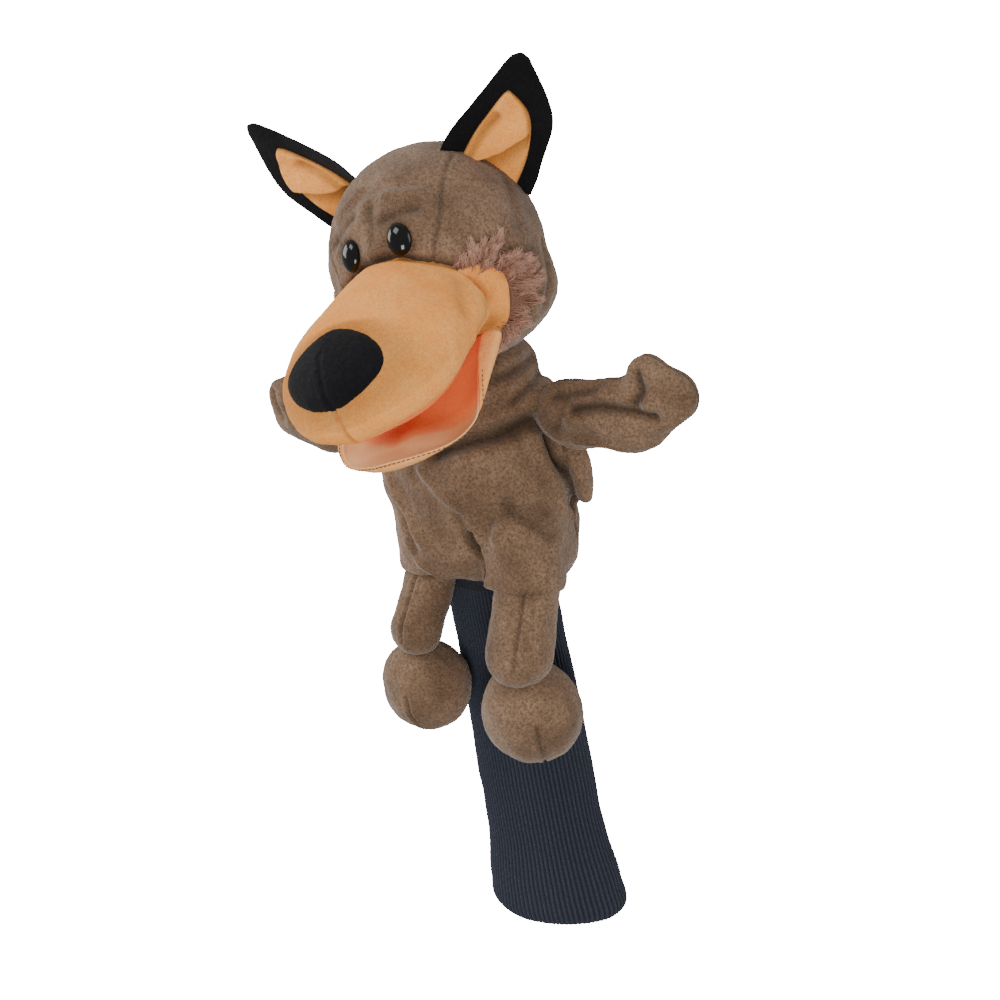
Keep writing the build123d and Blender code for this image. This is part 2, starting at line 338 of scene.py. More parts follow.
class Nodes:
    """A material's nodes, made one call at a time."""

    def __init__(self, name):
        self.material = bpy.data.materials.new(name)
        self.material.use_nodes = True
        self.tree = self.material.node_tree
        self.shader = self.tree.nodes["Principled BSDF"]

    def add(self, kind, **settings):
        node = self.tree.nodes.new(kind)
        for key, value in settings.items():
            setattr(node, key, value)
        return node

    def join(self, source, target):
        self.tree.links.new(source, target)

    def noise(self, scale, detail=2, rough=0.5):
        """Noise in the object's own metres."""
        where = self.add("ShaderNodeTexCoord")
        node = self.add("ShaderNodeTexNoise")
        node.inputs["Scale"].default_value = scale
        node.inputs["Detail"].default_value = detail
        node.inputs["Roughness"].default_value = rough
        self.join(where.outputs["Object"], node.inputs["Vector"])
        return node.outputs["Fac"]

    def ramp(self, source, *stops):
        """A number or colour by stops of (place, value)."""
        node = self.add("ShaderNodeValToRGB")
        elements = node.color_ramp.elements
        while len(elements) < len(stops):
            elements.new(0.5)
        for element, (place, value) in zip(elements, stops):
            element.position = place
            element.color = value if isinstance(value, tuple) else (value, value, value, 1)
        self.join(source, node.inputs["Fac"])
        return node.outputs["Color"]

    def fill(self, socket, value):
        """A socket takes a constant, or a link from another node."""
        if isinstance(value, (int, float, tuple)):
            socket.default_value = value
        else:
            self.join(value, socket)

    def mix(self, factor, a, b, kind="MIX"):
        node = self.add("ShaderNodeMix", data_type="RGBA", blend_type=kind)
        for key, value in (("Factor", factor), ("A", a), ("B", b)):
            self.fill(node.inputs[key], value)
        return node.outputs["Result"]

    def attribute(self, name):
        return self.add("ShaderNodeAttribute", attribute_name=name).outputs["Fac"]

    def bump(self, height, strength, distance, under=None):
        node = self.add("ShaderNodeBump")
        node.inputs["Strength"].default_value = strength
        node.inputs["Distance"].default_value = distance
        self.join(height, node.inputs["Height"])
        if under is not None:
            self.join(under, node.inputs["Normal"])
        return node.outputs["Normal"]

    def set(self, **values):
        for key, value in values.items():
            self.fill(self.shader.inputs[key.replace("_", " ")], value)


WHITE = (1, 1, 1, 1)


def plush(name, base, dark, light, sheen=0.35, contrast=1.0, seam_dark=0.55):
    """Short pile: speckled, brushed lighter in patches, with painted shade in its seams and folds."""
    n = Nodes(name)
    speck = n.ramp(n.noise(1250, 3, 0.75), (0.5 - 0.12 / contrast, 0.0), (0.5 + 0.12 / contrast, 1.0))
    brushed = n.ramp(n.noise(40, 4, 0.6), (0.32, 0.1), (0.74, 0.85 * contrast))
    streaks = n.ramp(n.noise(650, 3, 0.7), (0.38, 0.25), (0.62, 1.0))
    colour = n.mix(speck, dark, base)
    lighter = n.mix(1.0, brushed, streaks, "MULTIPLY")
    colour = n.mix(lighter, colour, light)
    # painted shade: the colour is darkened where the crease shade value is high, in seams, folds and hollows
    shade = n.mix(n.attribute("seam"), WHITE, (seam_dark, seam_dark, seam_dark, 1))
    colour = n.mix(1.0, colour, shade, "MULTIPLY")
    fine = n.bump(n.noise(1300, 3, 0.7), 0.5, 0.0006)
    coarse = n.bump(n.noise(330, 2, 0.6), 0.45, 0.0012, fine)
    rough = n.ramp(n.noise(500, 2), (0.3, 0.86), (0.7, 1.0))
    n.set(Base_Color=colour, Roughness=rough, Normal=coarse, Sheen_Weight=sheen, Sheen_Roughness=0.45,
          Sheen_Tint=tuple(0.5 + 0.5 * c for c in light[:3]) + (1,), Specular_IOR_Level=0.15)
    return n.material


def mouth_cloth(name):
    """Smooth short cloth, pale at the mouth's front and deep orange at its back: painted light in front and
    painted shade deeper in, warmed as by light bounced inside the mouth.
    """
    n = Nodes(name)
    inwards = n.attribute("inwards")
    wander = n.mix(0.22, inwards, n.noise(60, 2))
    colour = n.ramp(wander, (0.24, linear(255, 205, 142)), (0.44, linear(253, 160, 94)),
                    (0.8, linear(236, 116, 58)))
    speck = n.ramp(n.noise(1500, 2), (0.3, 0.9), (0.7, 1.05))
    colour = n.mix(0.6, colour, speck, "MULTIPLY")
    n.set(Base_Color=colour, Roughness=0.85, Normal=n.bump(n.noise(1400, 2), 0.35, 0.0004),
          Sheen_Weight=0.05, Specular_IOR_Level=0.2)
    return n.material


def plastic(name, colour, rough, shine=0.5):
    n = Nodes(name)
    cloud = n.ramp(n.noise(350, 2), (0.3, tuple(c * 0.8 for c in colour[:3]) + (1,)), (0.7, colour))
    wear = n.ramp(n.noise(900, 3), (0.4, rough), (0.8, rough + 0.06))
    n.set(Base_Color=cloud, Roughness=wear, Specular_IOR_Level=shine,
          Normal=n.bump(n.noise(120, 1), 0.02, 0.0003))
    return n.material


def knit(name):
    """Dark rib knit with stitches along each rib, and painted shade in the valleys between the ribs."""
    n = Nodes(name)
    fibre = n.ramp(n.noise(1600, 3, 0.7), (0.3, linear(33, 35, 43)), (0.7, linear(62, 65, 77)))
    # painted shade: darker in the valleys between the ribs
    valley = n.mix(n.attribute("seam"), WHITE, (0.55, 0.55, 0.58, 1))
    colour = n.mix(1.0, fibre, valley, "MULTIPLY")
    n.set(Base_Color=colour, Roughness=0.9, Sheen_Weight=0.12, Sheen_Roughness=0.5,
          Sheen_Tint=linear(150, 160, 180), Specular_IOR_Level=0.15,
          Normal=n.bump(n.noise(1500, 3, 0.7), 0.6, 0.0005))
    return n.material


BROWN = plush("brown_plush", linear(104, 80, 61), linear(58, 43, 32), linear(156, 126, 100), sheen=0.42,
              seam_dark=0.32)
TAN = plush("tan_plush", linear(248, 161, 72), linear(230, 134, 50), linear(253, 192, 114), sheen=0.06,
            contrast=0.9, seam_dark=0.42)
# painted light: a paler copy of the tan plush for the jaw, which catches more light
TAN_PAINTED_LIT = plush("tan_plush_painted_lit", linear(251, 178, 100), linear(240, 156, 78), linear(254, 202, 136),
                 sheen=0.1, contrast=0.6, seam_dark=0.62)
BLACK = plush("black_plush", linear(15, 14, 17), linear(9, 9, 11), linear(24, 23, 27), sheen=0.06)
MOUTH = mouth_cloth("mouth_cloth")
KNIT = knit("rib_knit")
EYE_PLASTIC = plastic("eye_plastic", linear(4, 4, 4), 0.07, shine=0.35)
WASHER_PLASTIC = plastic("washer_plastic", linear(225, 222, 214), 0.4)
LINING = plush("pocket_cloth", linear(52, 52, 58), linear(38, 38, 44), linear(70, 70, 76), sheen=0.1)
BINDING = plush("binding_tape", linear(38, 38, 44), linear(25, 25, 30), linear(60, 60, 68), sheen=0.1)
THREAD = plush("stitch_thread", linear(132, 84, 50), linear(100, 62, 36), linear(160, 108, 70), sheen=0.1)


def fur(name):
    """Long pile: darker at its roots, paler towards its tips, each strand a little different."""
    n = Nodes(name)
    tone = n.mix(0.25, n.attribute("tone"), n.noise(700, 2))
    colour = n.ramp(tone, (0.1, linear(104, 70, 56)), (0.4, linear(158, 114, 94)),
                    (0.85, linear(216, 174, 150)))
    n.set(Base_Color=colour, Roughness=0.7, Sheen_Weight=0.3, Sheen_Tint=linear(235, 205, 190),
          Specular_IOR_Level=0.25, Normal=n.bump(n.noise(1200, 2), 0.3, 0.0004))
    return n.material


FUR = fur("cheek_fur")


# ---- the head
def skull_field(points):
    q = HEAD.back(points)
    ball = ellipsoid(q, SKULL_CENTRE, SKULL)
    cheeks = melt(ellipsoid(q, (18, 8, -28), (34, 36, 28)), ellipsoid(q, (-20, 8, -28), (34, 36, 28)), 10)
    return melt(ball, cheeks, 6)


def muzzle_field(points):
    x, u, w = SNOUT.back(points).T
    middle = -1 - 0.03 * np.clip(u - 50, 0, None)
    half_wide = 50 - 5 * ease(20 - u, 0, 34)
    half_high = 31 - 3 * ease(20 - u, 0, 34)
    end = np.clip(u - 50, 0, None) / 47
    x = x * (1 + 0.0185 * np.clip(w + 7, -16, 30) * (1 - ease(u, -8, 44)))
    body = (np.sqrt((x / half_wide) ** 2 + ((w - middle) / half_high) ** 2 + end ** 2) - 1) * 31
    sag = 2.0 * ease(np.abs(x), 10, 40) * ease(u, 20, 50)
    body = cut(body, LIP - sag - w, 9)
    back_edge = -12 + 15 * ease(12 - w, 0, 26)
    return cut(body, back_edge - u, 9)


def eye_dimples(points):
    """The skull's cloth, pulled in round each eye."""
    q = HEAD.back(points)
    push = np.zeros(len(q))
    for side in (-1, 1):
        d = np.linalg.norm(q - (side * 15, -54, 14), axis=1)
        push += 0.7 * bell(d - 14, 4) - 2.0 * bell(d, 9.0)
    return push


def head_shape(points):
    junction = muzzle_field(points)
    valley = bell(junction, 2.6)
    # the valley where the muzzle meets the skull is pulled in and gets painted shade
    return 0.8 * bell(junction - 6, 4) - 1.6 * valley + eye_dimples(points), valley


HEAD_FOLDS = folds_of(
    HEAD,
    *mirrored(
        # the gusset's seams: from the front of each ear down to the muzzle, and from behind it to the nape
        ([(34, -8, 46), (35, -21, 40), (35.5, -33, 30), (34, -41, 18), (31, -47, 8), (27, -51, -2)],
         1.2, 1.0),
        ([(34, 8, 46), (34, 30, 36), (34, 46, 16), (33, 52, -8), (30, 46, -34)], 1.3, 1.5),
        # cloth drawn under each ear
        ([(50, 6, 22), (54, -2, 10), (55, -6, 0)], 3.0, 0.9),
    ),
    # the brows: two soft ridges above the eyes, with a pucker between them
    ([(26, -38, 33), (17, -42, 36), (8, -42, 37)], 3.2, -1.7),
    ([(24, -44, 26), (15, -48, 27), (7, -50, 25)], 3.0, 1.5),
    ([(-24, -36, 32), (-18, -38, 38), (-10, -36, 43)], 3.2, -1.9),
    ([(-26, -42, 22), (-19, -46, 28), (-12, -46, 32)], 3.0, 1.5),
    ([(0, -46, 34), (1, -51, 25), (0, -54, 16)], 2.4, 1.1),
    # the back of the left jaw
    ([(52, 16, -12), (53, 10, -26), (46, 4, -40)], 2.6, 1.2),
)
MUZZLE_FOLDS = folds_of(
    SNOUT,
    # the seam under the nose
    (through([(0, 90, 12), (0.4, 96, 2), (0.2, 96.5, -8), (0, 93, -16), (0, 84, -21)]), 1.1, 2.0),
    *mirrored(
        ([(44, 2, 12), (47, 16, 8), (49, 30, 2)], 4.0, 0.8),
        ([(48, 8, -8), (49, 18, -12), (49, 28, -13)], 2.6, 0.9),
    ),
)


def muzzle_shape(points):
    round_nose = bell(nose_field(points) - 1, 2.2)
    at_skull = bell(skull_field(points), 2.2)
    # pulled in round the nose pad and where the muzzle meets the skull, with painted shade there
    return -0.9 * round_nose - 0.9 * at_skull, np.maximum(0.7 * round_nose, 0.8 * at_skull)


# the nose pad, wrapped over the end of the muzzle
NOSE_U, NOSE_W = 77, 19
NOSE_SLANT = math.radians(52)
NOSE_WIDE, NOSE_HIGH, NOSE_PUFF = 28.5, 21, 7.5


def nose_field(points):
    x, u, w = SNOUT.back(points).T
    t = -(u - NOSE_U) * math.sin(NOSE_SLANT) + (w - NOSE_W) * math.cos(NOSE_SLANT)
    out = muzzle_field(points) + 1.0
    front = ease(u, 40, 56) * ease(w, -10, -3)
    ends = np.abs(x) / NOSE_WIDE
    lift = -1.5 * ends
    k = (ends ** 1.45 + (np.abs(t - lift) / NOSE_HIGH) ** 1.9 + (np.abs(out) / NOSE_PUFF) ** 2.2) ** 0.5
    return (k - 1) * NOSE_PUFF + (1 - front) * 20


NOSE_SEAM = [(0.5, 78, 26), (1, 88, 18), (1, 95, 9), (0.5, 99, 3)]

# the jaw: a soft cup whose rim sags at the sides
JAW_WIDE, JAW_LONG, JAW_DEEP, JAW_MIDDLE = 46.5, 37, 22, 44
RIM_SAG, RIM_SPREAD = 11.0, 25
RIGHT_SAG = 0.35  # the right side's share of the sag
RIM_ROLL, FRONT_ROLL = 7.5, 3.5  # width of the rolled lip at the sides and in front
JAW_RISE = 9.5  # how far the jaw's front bends up


def jaw_bend(s):
    """How far the jaw's middle line has risen at s."""
    return JAW_RISE * ease(s, 42, 92)


def rim_height(x, s):
    """t of the jaw's lip."""
    side = ease(np.abs(x), 2, 32) * np.where(x > 0, 1.0, RIGHT_SAG)
    return 1.0 - RIM_SAG * side * bell(s - 52, RIM_SPREAD) + 2.0 * ease(s, 66, 84)


def jaw_outer(x, s, t):
    """The cup's outside, without its rim."""
    t = t - jaw_bend(s)
    end = np.clip(s - JAW_MIDDLE, 0, None) / JAW_LONG
    back = ease(JAW_MIDDLE - s, 0, 46)
    wide = JAW_WIDE + 3.5 * back
    return (np.sqrt((x / wide) ** 2 + end ** 2 + (np.minimum(t, 0) / (JAW_DEEP - 4 * back)) ** 2) - 1) * 24


def dish(x, s):
    """t of the bottom of the hollow in the jaw."""
    wide, long = JAW_WIDE - RIM_ROLL - 0.5, JAW_LONG - FRONT_ROLL - 0.5
    r2 = (x / wide) ** 2 + (np.clip(s - JAW_MIDDLE, 0, None) / long) ** 2
    bowl = 7.0 * np.sqrt(np.clip(1 - r2, 0, 1)) * ease(s, 2, 30) * (1 - 0.8 * ease(s, 40, 66))
    return rim_height(x, s) - bowl - 0.8


def jaw_field(points):
    x, s, t = JAW.back(points).T
    body = jaw_outer(x, s, t)
    body = cut(body, t - rim_height(x, s), 4.5)
    inner_wide, inner_long = JAW_WIDE - RIM_ROLL, JAW_LONG - FRONT_ROLL
    inside = (np.sqrt((x / inner_wide) ** 2 + (np.clip(s - JAW_MIDDLE, 0, None) / inner_long) ** 2) - 1) * 38
    hollow = cut(inside, dish(x, s) - t, 3)
    body = cut(body, -hollow, 2.0)
    return cut(body, 3 - s, 4)


def palate_field(points):
    """A thin layer of cloth on the flat underside of the muzzle, a little inside its lip."""
    x, u, w = SNOUT.back(points).T
    layer = np.abs(muzzle_field(points) - 0.35) - 0.75
    edge = (np.sqrt((x / 41) ** 2 + (np.clip(u - 50, 0, None) / 38) ** 2) - 1) * 38
    layer = cut(layer, edge, 1.0)
    return np.maximum(np.maximum(layer, w + 11), 12 - u)


def closed_grid(name, place, front, back, rows, columns, material, **attributes):
    """Two grids of points joined round their rims."""
    index = np.arange(rows * columns).reshape(rows, columns)
    quads = np.stack([index[:-1, :-1], index[:-1, 1:], index[1:, 1:], index[1:, :-1]], -1).reshape(-1, 4)
    count = rows * columns
    edge = np.concatenate([index[0, :], index[1:, -1], index[-1, -2::-1], index[-2:0:-1, 0]])
    after = np.roll(edge, -1)
    sides = np.stack([edge, edge + count, after + count, after], 1)
    faces = np.concatenate([quads, quads[:, ::-1] + count, sides])
    values = {k: np.concatenate([v, v]) for k, v in attributes.items()}
    return mesh_object(name, place.out(np.concatenate([front, back])), faces, material, **values)


LINING_ROWS, LINING_COLUMNS = 70, 61
LINING_THICK = 0.8


def lining_points(wide, long, first, last):
    """Points of the jaw's lining in rows across the mouth, from its back to its front."""
    s = first + (last - first) * (1 - (1 - np.linspace(0, 1, LINING_ROWS)) ** 1.6)
    end = np.clip(s - JAW_MIDDLE, 0, None) / long
    half = wide * np.sqrt(np.clip(1 - end ** 2, 0.0004, 1))
    across = np.sin(np.linspace(-1, 1, LINING_COLUMNS) * math.pi / 2)
    x = (half[:, None] * across[None, :]).ravel()
    s = np.repeat(s, LINING_COLUMNS)
    points = np.stack([x, s, dish(x, s) + 0.9], 1)
    points[:, 2] += 0.35 * noise(points, 9, 31)
    return points


def stitches(name, line, normals, pitch, long, thick, material):
    """Short raised stitches along a line: each a little rounded bar."""
    run = np.concatenate([[0], np.cumsum(np.linalg.norm(np.diff(line, axis=0), axis=1))])
    shape = ((-0.5, 0.25), (-0.36, 0.85), (0, 1.0), (0.36, 0.85), (0.5, 0.25))  # place along, and size
    corners = 8
    points, faces = [], []
    for place in np.arange(pitch / 2, run[-1], pitch):
        rings = []
        for offset, size in shape:
            at = np.clip(place + offset * long, 0, run[-1])
            centre = np.array([np.interp(at, run, column) for column in line.T])
            normal = unit(np.array([np.interp(at, run, column) for column in normals.T]))
            rings.append((centre, normal, size))
        forward = unit(rings[-1][0] - rings[0][0])
        start = len(points)
        for centre, normal, size in rings:
            side = np.cross(forward, normal)
            for k in range(corners):
                angle = k * 2 * math.pi / corners
                out = math.cos(angle) * side + math.sin(angle) * normal
                points.append(centre + 0.5 * thick * size * out)
        for ring in range(len(shape) - 1):
            first = start + ring * corners
            for k in range(corners):
                a, b = first + k, first + (k + 1) % corners
                faces.append((a, b, b + corners, a + corners))
        last = start + (len(shape) - 1) * corners
        faces.append(tuple(range(start + corners - 1, start - 1, -1)))
        faces.append(tuple(range(last, last + corners)))
    return mesh_object(name, points, faces, material, seam=np.zeros(len(points)))


def make_head():
    head = stuffed("head_plush", skull_field, ((-72, -70, 322), (72, 76, 462)), 0.9, BROWN, HEAD_FOLDS,
                   lumps=0.7, seed=3, shape=head_shape)
    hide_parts("head_left_panel", "head_right_panel", "head_gusset", "head_wadding")
    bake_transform(head)

    muzzle = stuffed("muzzle_plush", muzzle_field, SNOUT.box((-52, 52), (-18, 100), (-30, 36)), 0.95, TAN,
                     MUZZLE_FOLDS, lumps=0.5, pile=0.11, seed=11, shape=muzzle_shape)
    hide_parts("muzzle_skin", "muzzle_wadding")
    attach(muzzle, "head")

    # the nose's seam: a crease, with painted shade along it
    seam = Fold(NOSE_SEAM, 1.4, 0.5, SNOUT)
    nose = stuffed("nose_plush", nose_field, SNOUT.box((-34, 34), (46, 112), (-8, 46)), 0.7, BLACK, [seam],
                   lumps=0.4, pile=0.12, seed=17)
    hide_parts("nose_pad")
    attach(nose, "head")


# two points on the jaw's middle line, near its hinge and further along it; nothing in this script uses them
JAW_ROOT, JAW_FREE = JAW.out((0, 2, 0)) * MM, JAW.out((0, 20, 0)) * MM


def make_jaw():
    jaw = stuffed("jaw_plush", jaw_field, JAW.box((-52, 52), (-2, 94), (-28, 8)), 0.8, TAN_PAINTED_LIT,
                  lumps=0.5, pile=0.11, seed=23)
    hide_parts("jaw_skin", "jaw_wadding")
    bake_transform(jaw)

    points = lining_points(JAW_WIDE - RIM_ROLL + 0.6, JAW_LONG - FRONT_ROLL + 0.6, 6,
                           JAW_MIDDLE + JAW_LONG - FRONT_ROLL + 0.2)
    # painted shade: 1 deep in the mouth, where the lining is painted darker orange, and 0 at its lit front
    inwards = 1 - ease(points[:, 1] + 0.55 * np.abs(points[:, 0]), 50, 74)
    lining = closed_grid("jaw_mouth_cloth", JAW, points, points - (0, 0, LINING_THICK), LINING_ROWS,
                         LINING_COLUMNS, MOUTH, inwards=inwards)
    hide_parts("jaw_lining")
    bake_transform(lining)

    roof = stuffed("palate_cloth", palate_field, SNOUT.box((-46, 46), (4, 94), (-26, -8)), 0.8, MOUTH,
                   lumps=0.3, pile=0.05, seed=29)
    roof_points = np.array([v.co for v in roof.data.vertices]) / MM
    # painted shade on the palate, darker orange towards the back of the mouth
    inwards = 1 - ease(SNOUT.back(roof_points)[:, 1], 80, 100)
    roof.data.attributes.new("inwards", "FLOAT", "POINT").data.foreach_set("value", inwards)
    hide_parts("palate_lining")
    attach(roof, "head")

    # the stitches follow the middle of the rolled rim
    angle = np.linspace(-0.5 * math.pi, 0.5 * math.pi, 120)
    side = np.linspace(12, JAW_MIDDLE, 24)[:-1]
    wide, long = JAW_WIDE - 0.62 * RIM_ROLL, JAW_LONG - 0.62 * FRONT_ROLL
    x = np.concatenate([np.full(len(side), -wide), wide * np.sin(angle), np.full(len(side), wide)])
    s = np.concatenate([side, JAW_MIDDLE + long * np.cos(angle), side[::-1]])
    line = JAW.out(np.stack([x, s, rim_height(x, s) - 0.4], 1))
    up = np.repeat(JAW.axes[:, 2][None, :], len(line), 0)
    thread = stitches("jaw_rim_stitches", line, up, 2.6, 1.7, 0.55, THREAD)
    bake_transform(thread)


make_head()
make_jaw()


# ---- cheeks
def cheek_region(q):
    """The tan patch behind the corner of the mouth, as a distance seen from the side."""
    upper = np.hypot(q[:, 1] + 41, q[:, 2] + 29) - 19
    lower = np.hypot(q[:, 1] + 34, q[:, 2] + 44) - 14
    return melt(upper, lower, 8)


# the band of long pile round the patch, as (y, z) on the side of the head, and its half width
FUR_LINE = [(-39, -7), (-32, -9), (-24, -13), (-17, -21), (-14, -30), (-15, -40), (-19, -47), (-24, -52)]
FUR_HALF = [(0, 5.0), (0.3, 6.5), (0.6, 6.0), (1, 2.5)]


def fur_region(q):
    line = through([(0, y, z) for y, z in FUR_LINE])
    share = np.linspace(0, 1, len(line))
    flat = q * (0, 1, 1)
    best = np.full(len(q), 1e9)
    for a, b, f in zip(line[:-1], line[1:], share):
        d = b - a
        t = np.clip(((flat - a) @ d) / (d @ d), 0, 1)
        half = np.interp(f, *zip(*FUR_HALF))
        best = np.minimum(best, np.linalg.norm(flat - a - t[:, None] * d, axis=1) - half)
    return best


def patch_field(side, region, height, thick):
    """A thin layer on the side of the head, over a region of it."""

    def field(points):
        q = HEAD.back(points)
        layer = np.abs(skull_field(points) - height) - thick
        layer = cut(layer, region(q), 1.2)
        return np.maximum(layer, 12 - side * q[:, 0])

    return field


def onto_skull(q, side):
    """Points given by y and z in the head's frame, moved sideways onto the skull."""
    far, near = np.full(len(q), 75.0), np.full(len(q), 5.0)
    for _ in range(24):
        middle = (far + near) / 2
        at = np.stack([side * middle, q[:, 1], q[:, 2]], 1)
        outside = skull_field(HEAD.out(at)) > 0
        far = np.where(outside, middle, far)
        near = np.where(outside, near, middle)
    return np.stack([side * far, q[:, 1], q[:, 2]], 1)


TUFTS, STRANDS = 110, 30  # tufts on a cheek, and strands in a tuft
RINGS = 5  # along a strand


def fur_strands(side, seed):
    """Tufts of long pile: each strand is a thin three-sided taper that leans away from the patch."""
    rng = np.random.default_rng(seed)
    line = through([(0, y, z) for y, z in FUR_LINE], 8)[:, 1:]
    share = rng.uniform(0 if side > 0 else 0.25, 1, TUFTS)  # the right cheek's band starts further back
    middle = np.stack([np.interp(share, np.linspace(0, 1, len(line)), line[:, k]) for k in (0, 1)], 1)
    half = np.interp(share, *zip(*FUR_HALF))
    middle += rng.uniform(-1, 1, (TUFTS, 2)) * half[:, None] * 0.85
    tuft_roots = onto_skull(np.column_stack([np.zeros(TUFTS), middle]), side)
    spread = rng.normal(0, 1, (TUFTS, STRANDS, 2)) * 1.7
    roots = (middle[:, None, :] + spread).reshape(-1, 2)
    roots = onto_skull(np.column_stack([np.zeros(len(roots)), roots]), side)
    owner = np.repeat(np.arange(TUFTS), STRANDS)

    out = unit(gradient(skull_field, HEAD.out(tuft_roots)) @ HEAD.axes)
    away = tuft_roots - np.array((side * 46, -44, -32))
    away = unit(away - (away * out).sum(1)[:, None] * out)
    lean = unit(away + 0.42 * out + rng.normal(0, 0.5, (TUFTS, 3)) + np.array((0, 0, -0.12)))
    long = rng.uniform(7.5, 12, TUFTS) * np.interp(share, (0, 0.3, 0.8, 1), (0.9, 1.0, 0.8, 0.6))
    tips = (tuft_roots + lean * long[:, None])[owner] + rng.normal(0, 1.0, roots.shape)

    out = out[owner]
    lift = rng.uniform(0.8, 2.4, len(roots))
    sideways = unit(np.cross(tips - roots, out))
    upward = unit(np.cross(sideways, tips - roots))
    thick = rng.uniform(0.26, 0.4, len(roots))
    shade = rng.uniform(0, 1, len(roots))
    points, tones = [], []
    for f in np.linspace(0, 1, RINGS):
        height = lift * math.sin(math.pi * f) - 0.6 * (f == 0)
        centre = roots + (tips - roots) * f + out * height[:, None]
        size = (thick * (1 - 0.82 * f))[:, None]
        for angle in (0.5 * math.pi, 7 / 6 * math.pi, 11 / 6 * math.pi):
            points.append(centre + size * (math.cos(angle) * sideways + math.sin(angle) * upward))
            tones.append((0.25 + 0.75 * f) * (0.6 + 0.4 * shade))
    # a strand's points follow each other, ring after ring
    points = np.stack(points, 1).reshape(-1, 3)
    sides = [(r * 3 + k, r * 3 + (k + 1) % 3, (r + 1) * 3 + (k + 1) % 3, (r + 1) * 3 + k)
             for r in range(RINGS - 1) for k in range(3)]
    base = np.arange(len(roots)) * 3 * RINGS
    top = 3 * (RINGS - 1)
    faces = (base[:, None, None] + np.array(sides)).reshape(-1, 4).tolist()
    for end in ((top, top + 1, top + 2), (2, 1, 0)):
        faces += (base[:, None] + np.array(end)).tolist()
    return HEAD.out(points), faces, np.stack(tones, 1).ravel()


def make_cheeks():
    tuck_line = np.array([(0, -44, -10), (0, -46, -17), (0, -50, -22)])
    crease_line = np.array([(0, -38, -16), (0, -37, -28), (0, -38, -42)])
    for side, name in ((1, "left"), (-1, "right")):
        box = HEAD.box((side * 10, side * 66), (-68, 14), (-66, 16))
        creases = folds_of(HEAD, (onto_skull(tuck_line, side), 1.1, 1.0),
                           (onto_skull(crease_line, side), 2.6, 0.9))
        patch = stuffed(f"cheek_plush_{name}", patch_field(side, cheek_region, 0.6, 1.4), box, 0.8, TAN,
                        creases, lumps=0.4, pile=0.1, seed=41)
        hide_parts(f"cheek_patch_{name}")
        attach(patch, "head")
        backing = stuffed(f"cheek_fur_backing_{name}", patch_field(side, fur_region, 0.5, 1.1), box, 0.9,
                          FUR, lumps=0.4, pile=0.3, seed=43)
        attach(backing, "head")
        points, faces, tone = fur_strands(side, 50 + side)
        fur = mesh_object(f"cheek_fur_strands_{name}", points, faces, FUR, tone=tone)
        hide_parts(f"cheek_fur_{name}")
        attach(fur, "head")


# ---- ears
# up the ear, then across to its front and back edges, and the same for the tan panel in it
EAR_EDGE = [(0, -24, 23), (10, -26.8, 24.5), (22, -25.9, 25), (32, -22.3, 25.8), (41, -17.6, 26.3),
            (48, -14.3, 25), (57, -10, 20.6), (66, -6.2, 14.5), (72, -3.4, 10), (76, -0.6, 6.8),
            (77.7, 2.4, 3.8)]
EAR_PANEL = [(0, -18.5, 13.8), (8, -17, 15.3), (18.5, -14.4, 16.7), (31.5, -10.7, 16.6), (41, -6.8, 15),
             (49, -3.6, 11), (54, -1.2, 5), (56.2, 0.3, 1.6)]
EAR_TALL = 77.7
EAR_ROWS, EAR_COLUMNS = 110, 61


def ear_cup(a, b):
    """How far the ear's middle surface stands forward: its edges curl towards the face."""
    near = 1 - 0.75 * b / EAR_TALL
    front = np.clip(-a, 0, None) / 26
    behind = np.clip(a, 0, None) / 26
    return near * (9 * front ** 1.8 + 6.5 * behind ** 2) - 3.0 * near


def panel_fold(a):
    """b of the fold that crosses the ear's tan panel, with cloth raised above it."""
    return np.interp(a, (-18, -12.3, -2.5, 4.3, 15.8, 20), (11, 12.5, 17.7, 23.3, 37.6, 43))


def panel_groove(a, b):
    """1 in the groove along the panel's front edge, fading to 0 beside it."""
    line = through([(-13.5, 12, 0), (-10.5, 24, 0), (-7, 33, 0), (-3, 41, 0)])
    return bell(off_line(np.stack([a, b, 0 * a], 1), line), 2.6)


def ear_relief(a, b):
    """The panel's folded lobe: raised above the fold line, hollow below it and along its front edge."""
    above = b - panel_fold(a)
    lobe = 3.6 * ease(above, -0.8, 1.2) * (1 - ease(above, 3, 26))
    hollow = -2.6 * (1 - ease(above, -2.4, 0)) * ease(above, -16, -3)
    return lobe + hollow - 3.2 * panel_groove(a, b)


def ear_shade(a, b):
    """Painted shade below the lobe's edge and behind the front edge, where the folded cloth lies deep."""
    below = panel_fold(a) - b
    shade = 0.9 * ease(below, -0.3, 0.8) * (1 - ease(below, 2, 16))
    return np.maximum(shade, 0.8 * panel_groove(a - 1, b))


def grid_of(table, rows, columns, crowd=1.0):
    """Rows up a table of (b, low a, high a), and columns across it, with q from -1 to 1."""
    b = table[-1][0] * (1 - (1 - np.linspace(0, 1, rows)) ** crowd)
    low, high = along(b, table).T
    q = np.sin(np.linspace(-1, 1, columns) * math.pi / 2)
    a = (low + high)[:, None] / 2 + (high - low)[:, None] / 2 * q[None, :]
    return a.ravel(), np.repeat(b, columns), np.tile(q, rows), np.repeat(np.linspace(0, 1, rows), columns)


